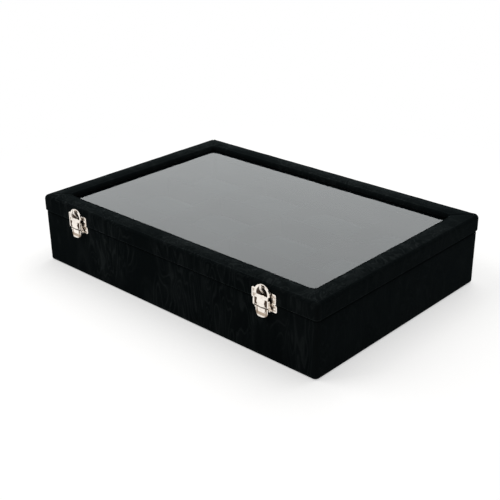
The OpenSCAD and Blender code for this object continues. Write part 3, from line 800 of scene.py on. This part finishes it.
class TRAY_OT_lid_wrap(bpy.types.Operator):
    """Wrap the lid rails in velvet, rounded on top and turned down to the glass"""

    bl_idname = "tray.lid_wrap"
    bl_label = "Lid velvet"

    def execute(self, context):
        case, cloth = settings().case, settings().velvet
        t, outer, inner, foot = cloth.thickness, case.rail_outer, case.rail_inner, case.soft_edge
        low, high, wide, glass = LID_LOW.z, LID_HIGH.z, case.rail, GLASS_HIGH.z
        turned_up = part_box(BEADS[0])[0].z - 0.0003
        flap = REBATE + 0.6 * t
        section = [(REBATE, turned_up), (flap, turned_up), (flap, low + 0.3 * t), (flap - 0.3 * t, low)]
        section += run((REBATE, low), (foot, low), 4)
        section += arc((foot, low + foot), foot, 270, 180, 6)
        section += run((0, low + foot), (0, high - outer), 8)
        section += arc((outer, high - outer), outer, 180, 90, 9)
        section += run((outer, high), (wide - inner, high), 6)
        section += arc((wide - inner, high - inner), inner, 90, 0, 8)
        section += run((wide, high - inner), (wide, glass), 3)
        section += [(wide, glass), (wide - t, glass), (wide - t, high - inner)]
        section += arc((wide - inner, high - inner), inner - t, 0, 90, 3)[1:]
        section += arc((outer, high - outer), outer - t, 90, 180, 3)
        section += [(t, low + foot), (foot, low + t), (REBATE, low + t)]

        def over_rail(inset):
            """From 0 at the outer to 1 at the inner end of a rail's flat top."""
            return min(max((inset - outer) / (wide - inner - outer), 0), 1)

        def radius_at(inset):
            outside = max(case.corner - inset, 0.0012)
            opening = case.opening_corner + wide - inset
            share = over_rail(inset)
            return outside + (opening - outside) * share * share * (3 - 2 * share)

        bm = swept_case(section, LID_HIGH.x, LID_HIGH.y, radius_at, corner_steps=12)
        for v in bm.verts:
            if v.co.z > high - 0.0002:
                share = over_rail(min(LID_HIGH.x - abs(v.co.x), LID_HIGH.y - abs(v.co.y)))
                v.co.z += RAIL_CROWN * 4 * share * (1 - share) - RAIL_SUNK
        crease_mitres(bm, LID_HIGH, high - 0.0012, case.mitre)
        wave_surface(bm, 42, cloth.wave, 23, keep_low=glass + 0.0008)
        let_in_leaves(bm, "hinge_lid_leaf", -1, settings().fitting.leaf, t)
        settle(new_piece("lid_wrap", bm), LID, "black_velvet", case_velvet, "lid_velvet")
        return {"FINISHED"}


class TRAY_OT_lining(bpy.types.Operator):
    """Line the inside, cover the divider boards and the beads that hold the glass"""

    bl_idname = "tray.lining"
    bl_label = "Lining and dividers"

    def execute(self, context):
        settle(eased("base_lining", "lining", 0.0006), BASE, "lining_velvet", tray_velvet, "base_lining")
        for names, radius, body in ((DIVIDERS, 0.0011, BASE), (BEADS, 0.0012, LID)):
            for name in names:
                cover = eased(name, name + "_covered", radius, steps=4)
                settle(cover, body, "lining_velvet", tray_velvet, name)
        return {"FINISHED"}


class TRAY_OT_glass(bpy.types.Operator):
    """Glaze the lid"""

    bl_idname = "tray.glass"
    bl_label = "Glass"

    def execute(self, context):
        settle(eased("lid_glass", "glass_pane", 0.0003), LID, "glass", lid_glazing, "lid_glass")
        return {"FINISHED"}


def grown(name, points, edges, tree, maker, **sizes):
    """A piece that a tree makes on points or along edges, as a plain mesh."""
    mesh = bpy.data.meshes.new(name)
    mesh.from_pydata(points, edges, [])
    piece = stand(name, mesh)
    modifier = piece.modifiers.new("recipe", "NODES")
    modifier.node_group = tree
    ids = {item.name: item.identifier for item in tree.interface.items_tree}
    for label, value in sizes.items():
        modifier[ids[label.replace("_", " ")]] = value
    modifier[ids["Finish"]] = finish_for(maker)
    apply_modifiers(piece)
    shade_smooth(piece.data)
    return piece


def stitch_tree():
    """Lays a short stitch of thread at even steps along a seam."""
    r = Recipe("seam_stitches", Spacing=0.0034, Length=0.0024, Thickness=0.0005)
    seam = r.add("GeometryNodeMeshToCurve", {}, {"Mesh": r.given})
    steps = r.add(
        "GeometryNodeCurveToPoints", {"mode": "LENGTH"}, {"Curve": seam, "Length": r.size("Spacing")})
    bead = r.add("GeometryNodeMeshUVSphere", {}, {"Segments": 8, "Rings": 6, "Radius": 0.5}, "Mesh")
    thick = r.size("Thickness")
    size = r.add("ShaderNodeCombineXYZ", {}, {"X": thick, "Y": thick, "Z": r.size("Length")})
    thread = r.add("GeometryNodeTransform", {}, {"Geometry": bead, "Scale": size})
    return r.finished(r.laid(steps, thread, steps.other("Rotation")))


def pad_start(half, seam):
    """A bolster a little smaller than the finished cushion, closed by two end panels."""
    lengths, round_steps = 16, 40
    ends = [(half.x, 0.45), (half.x - seam * 0.15, 0.78), (half.x - seam, PANEL)]
    stations = [(-x, s) for x, s in ends]
    for i in range(1, lengths):
        t = -1 + 2 * i / lengths
        stations.append((t * (half.x - seam), PANEL + (1 - PANEL) * (1 - t ** 4)))
    stations += [(x, s) for x, s in reversed(ends)]
    bm = bmesh.new()
    rows = []
    for x, s in stations:
        row = []
        for k in range(round_steps):
            a = 2 * math.pi * k / round_steps
            c, d = math.cos(a), math.sin(a)
            y = half.y * s * math.copysign(abs(c) ** SQUARENESS, c)
            z = half.z * s * math.copysign(abs(d) ** SQUARENESS, d)
            row.append(bm.verts.new((x, y, z)))
        rows.append(row)
    for first, second in zip(rows, rows[1:]):
        bridge(bm, first, second)
    bm.faces.new(rows[0])
    bm.faces.new(rows[-1])
    return bm


def filled(piece, cushion, seam_x):
    """Fills the cloth by simulation, held back at its seams, and gives the places it started from."""
    remesh = piece.modifiers.new("cloth grid", "REMESH")
    remesh.mode = "VOXEL"
    remesh.voxel_size = cushion.voxel
    apply_modifiers(piece)
    start = [v.co.copy() for v in piece.data.vertices]
    held = piece.vertex_groups.new(name="seams")
    for v in piece.data.vertices:
        weight = 1 - abs(abs(v.co.x) - seam_x) / (1.2 * cushion.voxel)
        if weight > 0:
            held.add([v.index], weight, "REPLACE")
    cloth = piece.modifiers.new("filling", "CLOTH")
    cloth.settings.use_pressure = True
    cloth.settings.uniform_pressure_force = cushion.pressure
    cloth.settings.effector_weights.gravity = 0
    cloth.settings.vertex_group_mass = held.name
    scene = bpy.context.scene
    scene.frame_start, scene.frame_end = 1, CLOTH_FRAMES
    cloth.point_cache.frame_start, cloth.point_cache.frame_end = 1, CLOTH_FRAMES
    for step in range(1, CLOTH_FRAMES + 1):
        scene.frame_set(step)
    apply_modifiers(piece)
    scene.frame_set(1)
    piece.vertex_groups.clear()
    return start


def sew(bm, seam_x, cushion):
    """Pulls in the two end seams with puckers beside them, and gives the edges that lie on them."""
    gathers, uneven, pucker_reach = 19, 3, 0.007
    for side in (-1, 1):
        for step in range(-2, 3):
            bmesh.ops.bisect_plane(
                bm, geom=bm.verts[:] + bm.edges[:] + bm.faces[:], dist=ON_PLANE,
                plane_co=(side * seam_x + step * cushion.groove_width / 2, 0, 0), plane_no=(1, 0, 0))
    bm.verts.index_update()
    on_seam = {v for v in bm.verts if abs(abs(v.co.x) - seam_x) < 2 * SAME_POINT}
    seams = [tuple(v.index for v in edge.verts) for edge in bm.edges if on_seam.issuperset(edge.verts)]
    bm.normal_update()
    moves = []
    for v in bm.verts:
        away = abs(abs(v.co.x) - seam_x)
        groove = math.exp(-(away / cushion.groove_width) ** 2)
        around = math.atan2(v.co.z, v.co.y)
        pucker = math.sin(gathers * around + 2 * math.sin(uneven * around))
        pucker *= math.exp(-away / pucker_reach) * (1 - groove)
        moves.append(v.normal * (cushion.pucker * pucker - cushion.groove * groove))
    for v, move in zip(bm.verts, moves):
        v.co += move
    return seams


def pad_mesh():
    """One filled cushion, centred on its own middle, and the edges of its seams."""
    cushion = settings().cushion
    low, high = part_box(CUSHIONS[0])
    half = (high - low) / 2
    seam_x = half.x - cushion.seam
    cut_size = Vector([size - ease for size, ease in zip(half, CUSHION_EASE)])
    piece = new_piece("pad_pattern", pad_start(cut_size, cushion.seam))
    start = filled(piece, cushion, seam_x)  # gives the piece a new mesh, so piece.data is read after it
    for v, old in zip(piece.data.vertices, start):
        move = v.co - old
        if move.length > cushion.swell:
            v.co = old + move.normalized() * cushion.swell
    smooth = piece.modifiers.new("soften", "SMOOTH")
    smooth.factor, smooth.iterations = 0.5, 3
    fine = piece.modifiers.new("fine", "SUBSURF")
    fine.levels = fine.render_levels = 1
    apply_modifiers(piece)
    mesh = piece.data
    bm = bmesh.new()
    bm.from_mesh(mesh)
    seams = sew(bm, seam_x, cushion)
    for v in bm.verts:
        v.co = [max(-limit, min(limit, place)) for place, limit in zip(v.co, half)]
    bm.to_mesh(mesh)
    bm.free()
    shade_smooth(mesh)
    bpy.data.objects.remove(piece)
    return mesh, seams


class TRAY_OT_cushions(bpy.types.Operator):
    """Fill one cushion by cloth simulation and lay a slightly different one in each place"""

    bl_idname = "tray.cushions"
    bl_label = "Cushions"

    def execute(self, context):
        pattern, seams = pad_mesh()
        thread = stitch_tree()
        knots = sorted({index for edge in seams for index in edge})
        order = {index: place for place, index in enumerate(knots)}
        sewn = [(order[a], order[b]) for a, b in seams]
        for index, name in enumerate(CUSHIONS):
            low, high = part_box(name)
            mesh = pattern.copy()
            mesh.name = name + "_pad"
            flip = -1 if index % 2 else 1
            for v in mesh.vertices:
                place = Vector((v.co.x * flip, v.co.y * flip, v.co.z))
                dent = unevenness(place, scale=60, amount=0.0006, seed=3.7 * index + 1)
                place -= place.normalized() * abs(dent)
                v.co = place + (low + high) / 2
            piece = stand(name + "_pad", mesh)
            settle(piece, name, "cushion_velvet", pad_velvet, name)
            points = [mesh.vertices[knot].co.copy() for knot in knots]
            stitches = grown(name + "_stitches", points, sewn, thread, black_thread)
            settle(stitches, name, "cushion_velvet", black_thread)
        bpy.data.meshes.remove(pattern)
        return {"FINISHED"}


def plate_parts(parts, slot):
    """Replaces each part, left and right, by a copy with eased edges and its plating."""
    for side in SIDES:
        for part, (body, maker) in parts.items():
            node = f"{side}_{part}"
            piece = eased(node, node + "_plated", settings().fitting.eased)
            settle(piece, body.format(side), slot, maker, node)


class TRAY_OT_latches(bpy.types.Operator):
    """Ease the edges of the stamped latches and plate them"""

    bl_idname = "tray.latches"
    bl_label = "Latches"

    def execute(self, context):
        plate_parts(LATCH_PARTS, "nickel")
        return {"FINISHED"}


class TRAY_OT_hinges(bpy.types.Operator):
    """Ease the edges of the hinges and plate them"""

    bl_idname = "tray.hinges"
    bl_label = "Hinges"

    def execute(self, context):
        plate_parts(HINGE_PARTS, "hinge_steel")
        return {"FINISHED"}


def solid_boxes(node):
    """The box of each separate solid of a node, always in the same order."""
    bm = merged(node)
    found = set()
    boxes = []
    for seed in bm.verts:
        if seed in found:
            continue
        found.add(seed)
        group = [seed]
        for member in group:
            for edge in member.link_edges:
                v = edge.other_vert(member)
                if v not in found:
                    found.add(v)
                    group.append(v)
        boxes.append([Vector([pick(v.co[i] for v in group) for i in range(3)]) for pick in (min, max)])
    bm.free()
    return boxes


def nail_tree():
    """Sets a domed nail on each point, each turned a little its own way."""
    r = Recipe("domed_nails", Head_Radius=0.0013, Shank_Radius=0.0006, Shank_Length=0.007,
               Turn=(math.pi / 2, 0, 0))
    head = r.add("GeometryNodeMeshUVSphere", {},
                 {"Radius": r.size("Head Radius"), "Segments": 28, "Rings": 14}, "Mesh")
    dome = r.add("GeometryNodeTransform", {}, {"Geometry": head, "Scale": (1, 1, 0.55)})
    long = r.size("Shank Length")
    shank = r.add("GeometryNodeMeshCylinder", {},
                  {"Radius": r.size("Shank Radius"), "Depth": long, "Vertices": 20}, "Mesh")
    drop = r.add("ShaderNodeCombineXYZ", {}, {"Z": long * -0.5})
    sunk = r.add("GeometryNodeTransform", {}, {"Geometry": shank, "Translation": drop})
    nail = r.add("GeometryNodeJoinGeometry", {}, {"Geometry": dome})
    r.tree.links.new(sunk.socket, nail.socket.node.inputs[0])
    wobble = r.add("FunctionNodeRandomValue", {"data_type": "FLOAT_VECTOR"},
                   {"Min": (-0.05, -0.05, -3.0), "Max": (0.05, 0.05, 3.0), "Seed": 5})
    upright = r.laid(r.given, nail, r.size("Turn"))
    turned = r.add("GeometryNodeRotateInstances", {}, {"Instances": upright, "Rotation": wobble})
    return r.finished(turned)


class TRAY_OT_nails(bpy.types.Operator):
    """Set the domed nails of the latch plates, and plate those of the hinges"""

    bl_idname = "tray.nails"
    bl_label = "Nails"

    def execute(self, context):
        tree = nail_tree()
        head = settings().fitting.nail_head
        for node, body in (("latch_base_nails", BASE), ("latch_catch_nails", LID)):
            boxes = solid_boxes(node)
            points = [((low.x + high.x) / 2, low.y + 0.45 * head, (low.z + high.z) / 2)
                      for low, high in boxes]
            low, high = boxes[0]
            piece = grown(node + "_set", points, [], tree, pin_nickel,
                          Head_Radius=head, Shank_Length=high.y - low.y - 0.5 * head)
            settle(piece, body, "nickel", pin_nickel, node)
        for node in ("hinge_base_nails", "hinge_lid_nails"):
            assign(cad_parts[node], hinge_nickel)
        return {"FINISHED"}


def camera_place(stage):
    """The camera's turn and place, from its direction round the tray."""
    a, e, roll = stage.azimuth, stage.elevation, stage.roll
    back = Vector((math.sin(a) * math.cos(e), -math.cos(a) * math.cos(e), math.sin(e)))
    right = Vector((math.cos(a), math.sin(a), 0))
    up = back.cross(right)
    rolled_right = right * math.cos(roll) + up * math.sin(roll)
    rolled_up = up * math.cos(roll) - right * math.sin(roll)
    turn = Matrix((rolled_right, rolled_up, back)).transposed()
    return Matrix.Translation(Vector(stage.target) + back * stage.distance) @ turn.to_4x4()


def seen_directly(f):
    """1 for rays from the camera, off glossy metal or through glass, and 0 for the rest."""
    camera = f.add("ShaderNodeLightPath", {}, {}, "Is Camera Ray")
    return camera.larger(camera.other("Is Glossy Ray")).larger(camera.other("Is Transmission Ray"))


def stage_floor():
    """A white table that keeps a soft shadow, and gives back less light than it shows."""
    f = Finish("stage_floor")
    grey = f.add("ShaderNodeBsdfDiffuse", {}, {"Color": (0.55, 0.55, 0.55)})
    paper = f.add("ShaderNodeBsdfDiffuse", {}, {"Color": (1, 1, 1)})
    glow = f.add("ShaderNodeEmission", {}, {"Color": (1, 1, 1), "Strength": 1.2})
    white = f.add("ShaderNodeEmission", {}, {"Color": (1, 1, 1), "Strength": 1.0})
    x, y = f.axis("X"), f.axis("Y")
    away = ((x * x + y * y) ** 0.5).smooth(0.26, 0.5)
    shown = f.mix(away, f.mix(0.4, paper, glow), white)
    return f.finished(f.mix(seen_directly(f), grey, shown))


def room_light():
    """A plain pale room, seen as white and shining less than it shows."""
    room = Finish("room", bpy.data.worlds.new("room"))
    strength = 0.35 + seen_directly(room) * 0.65
    room.end("ShaderNodeOutputWorld", room.add(
        "ShaderNodeBackground", {}, {"Color": (1, 1, 1), "Strength": strength}))
    return room.owner


class TRAY_OT_stage(bpy.types.Operator):
    """Set the floor, the soft light and the camera"""

    bl_idname = "tray.stage"
    bl_label = "Stage"

    def execute(self, context):
        stage = settings().stage
        scene = bpy.context.scene
        scene.view_settings.view_transform = "Standard"
        bm = bmesh.new()
        bmesh.ops.create_grid(bm, x_segments=8, y_segments=8, size=6.0)
        floor = stand("floor", mesh_from(bm, "floor"))
        assign(floor, stage_floor)
        scene.world = room_light()
        for name, size, power, place in (
            ("window_light", 1.6, 20.0, (-1.3, -1.1, 1.7)),
            ("ceiling_light", 2.0, 30.0, (0.0, 0.9, 2.2)),
        ):
            lamp = bpy.data.lights.new(name, "AREA")
            lamp.size = size
            lamp.energy = power
            lamp.color = (1.0, 0.99, 0.97)
            owner = stand(name, lamp)
            owner.location = place
            owner.rotation_mode = "QUATERNION"
            owner.rotation_quaternion = Vector(place).to_track_quat("Z", "Y")
            owner.visible_camera = False
            owner.visible_glossy = False
        lens = bpy.data.cameras.new("photo_camera")
        lens.lens = stage.lens
        lens.sensor_width = 36.0
        lens.clip_start, lens.clip_end = 0.05, 40.0
        scene.camera = stand("photo_camera", lens)
        scene.camera.matrix_world = camera_place(stage)
        return {"FINISHED"}


class TRAY_PT_panel(bpy.types.Panel):
    """Lists the steps that build the tray"""

    bl_idname = "TRAY_PT_panel"
    bl_label = "Display Tray"
    bl_space_type = "VIEW_3D"
    bl_region_type = "UI"
    bl_category = "Tray"

    def draw(self, context):
        for step in STEPS:
            self.layout.operator(step.bl_idname)


STEPS = (
    TRAY_OT_stage, TRAY_OT_boards, TRAY_OT_base_wrap, TRAY_OT_lid_wrap, TRAY_OT_lining,
    TRAY_OT_glass, TRAY_OT_cushions, TRAY_OT_latches, TRAY_OT_hinges, TRAY_OT_nails,
)
GROUPS = (VelvetSettings, CaseSettings, CushionSettings, FittingSettings, StageSettings, TraySettings)
CLASSES = (*GROUPS, *STEPS, TRAY_PT_panel)


def register():
    for item in CLASSES:
        bpy.utils.register_class(item)
    bpy.types.Scene.display_tray = PointerProperty(type=TraySettings)


def unregister():
    del bpy.types.Scene.display_tray
    for item in reversed(CLASSES):
        bpy.utils.unregister_class(item)


def main():
    register()
    bpy.ops.tray.stage()
    bpy.ops.tray.boards()
    bpy.ops.tray.base_wrap()
    bpy.ops.tray.lid_wrap()
    bpy.ops.tray.lining()
    bpy.ops.tray.glass()
    bpy.ops.tray.cushions()
    bpy.ops.tray.latches()
    bpy.ops.tray.hinges()
    bpy.ops.tray.nails()


if __name__ == "__main__":
    main()
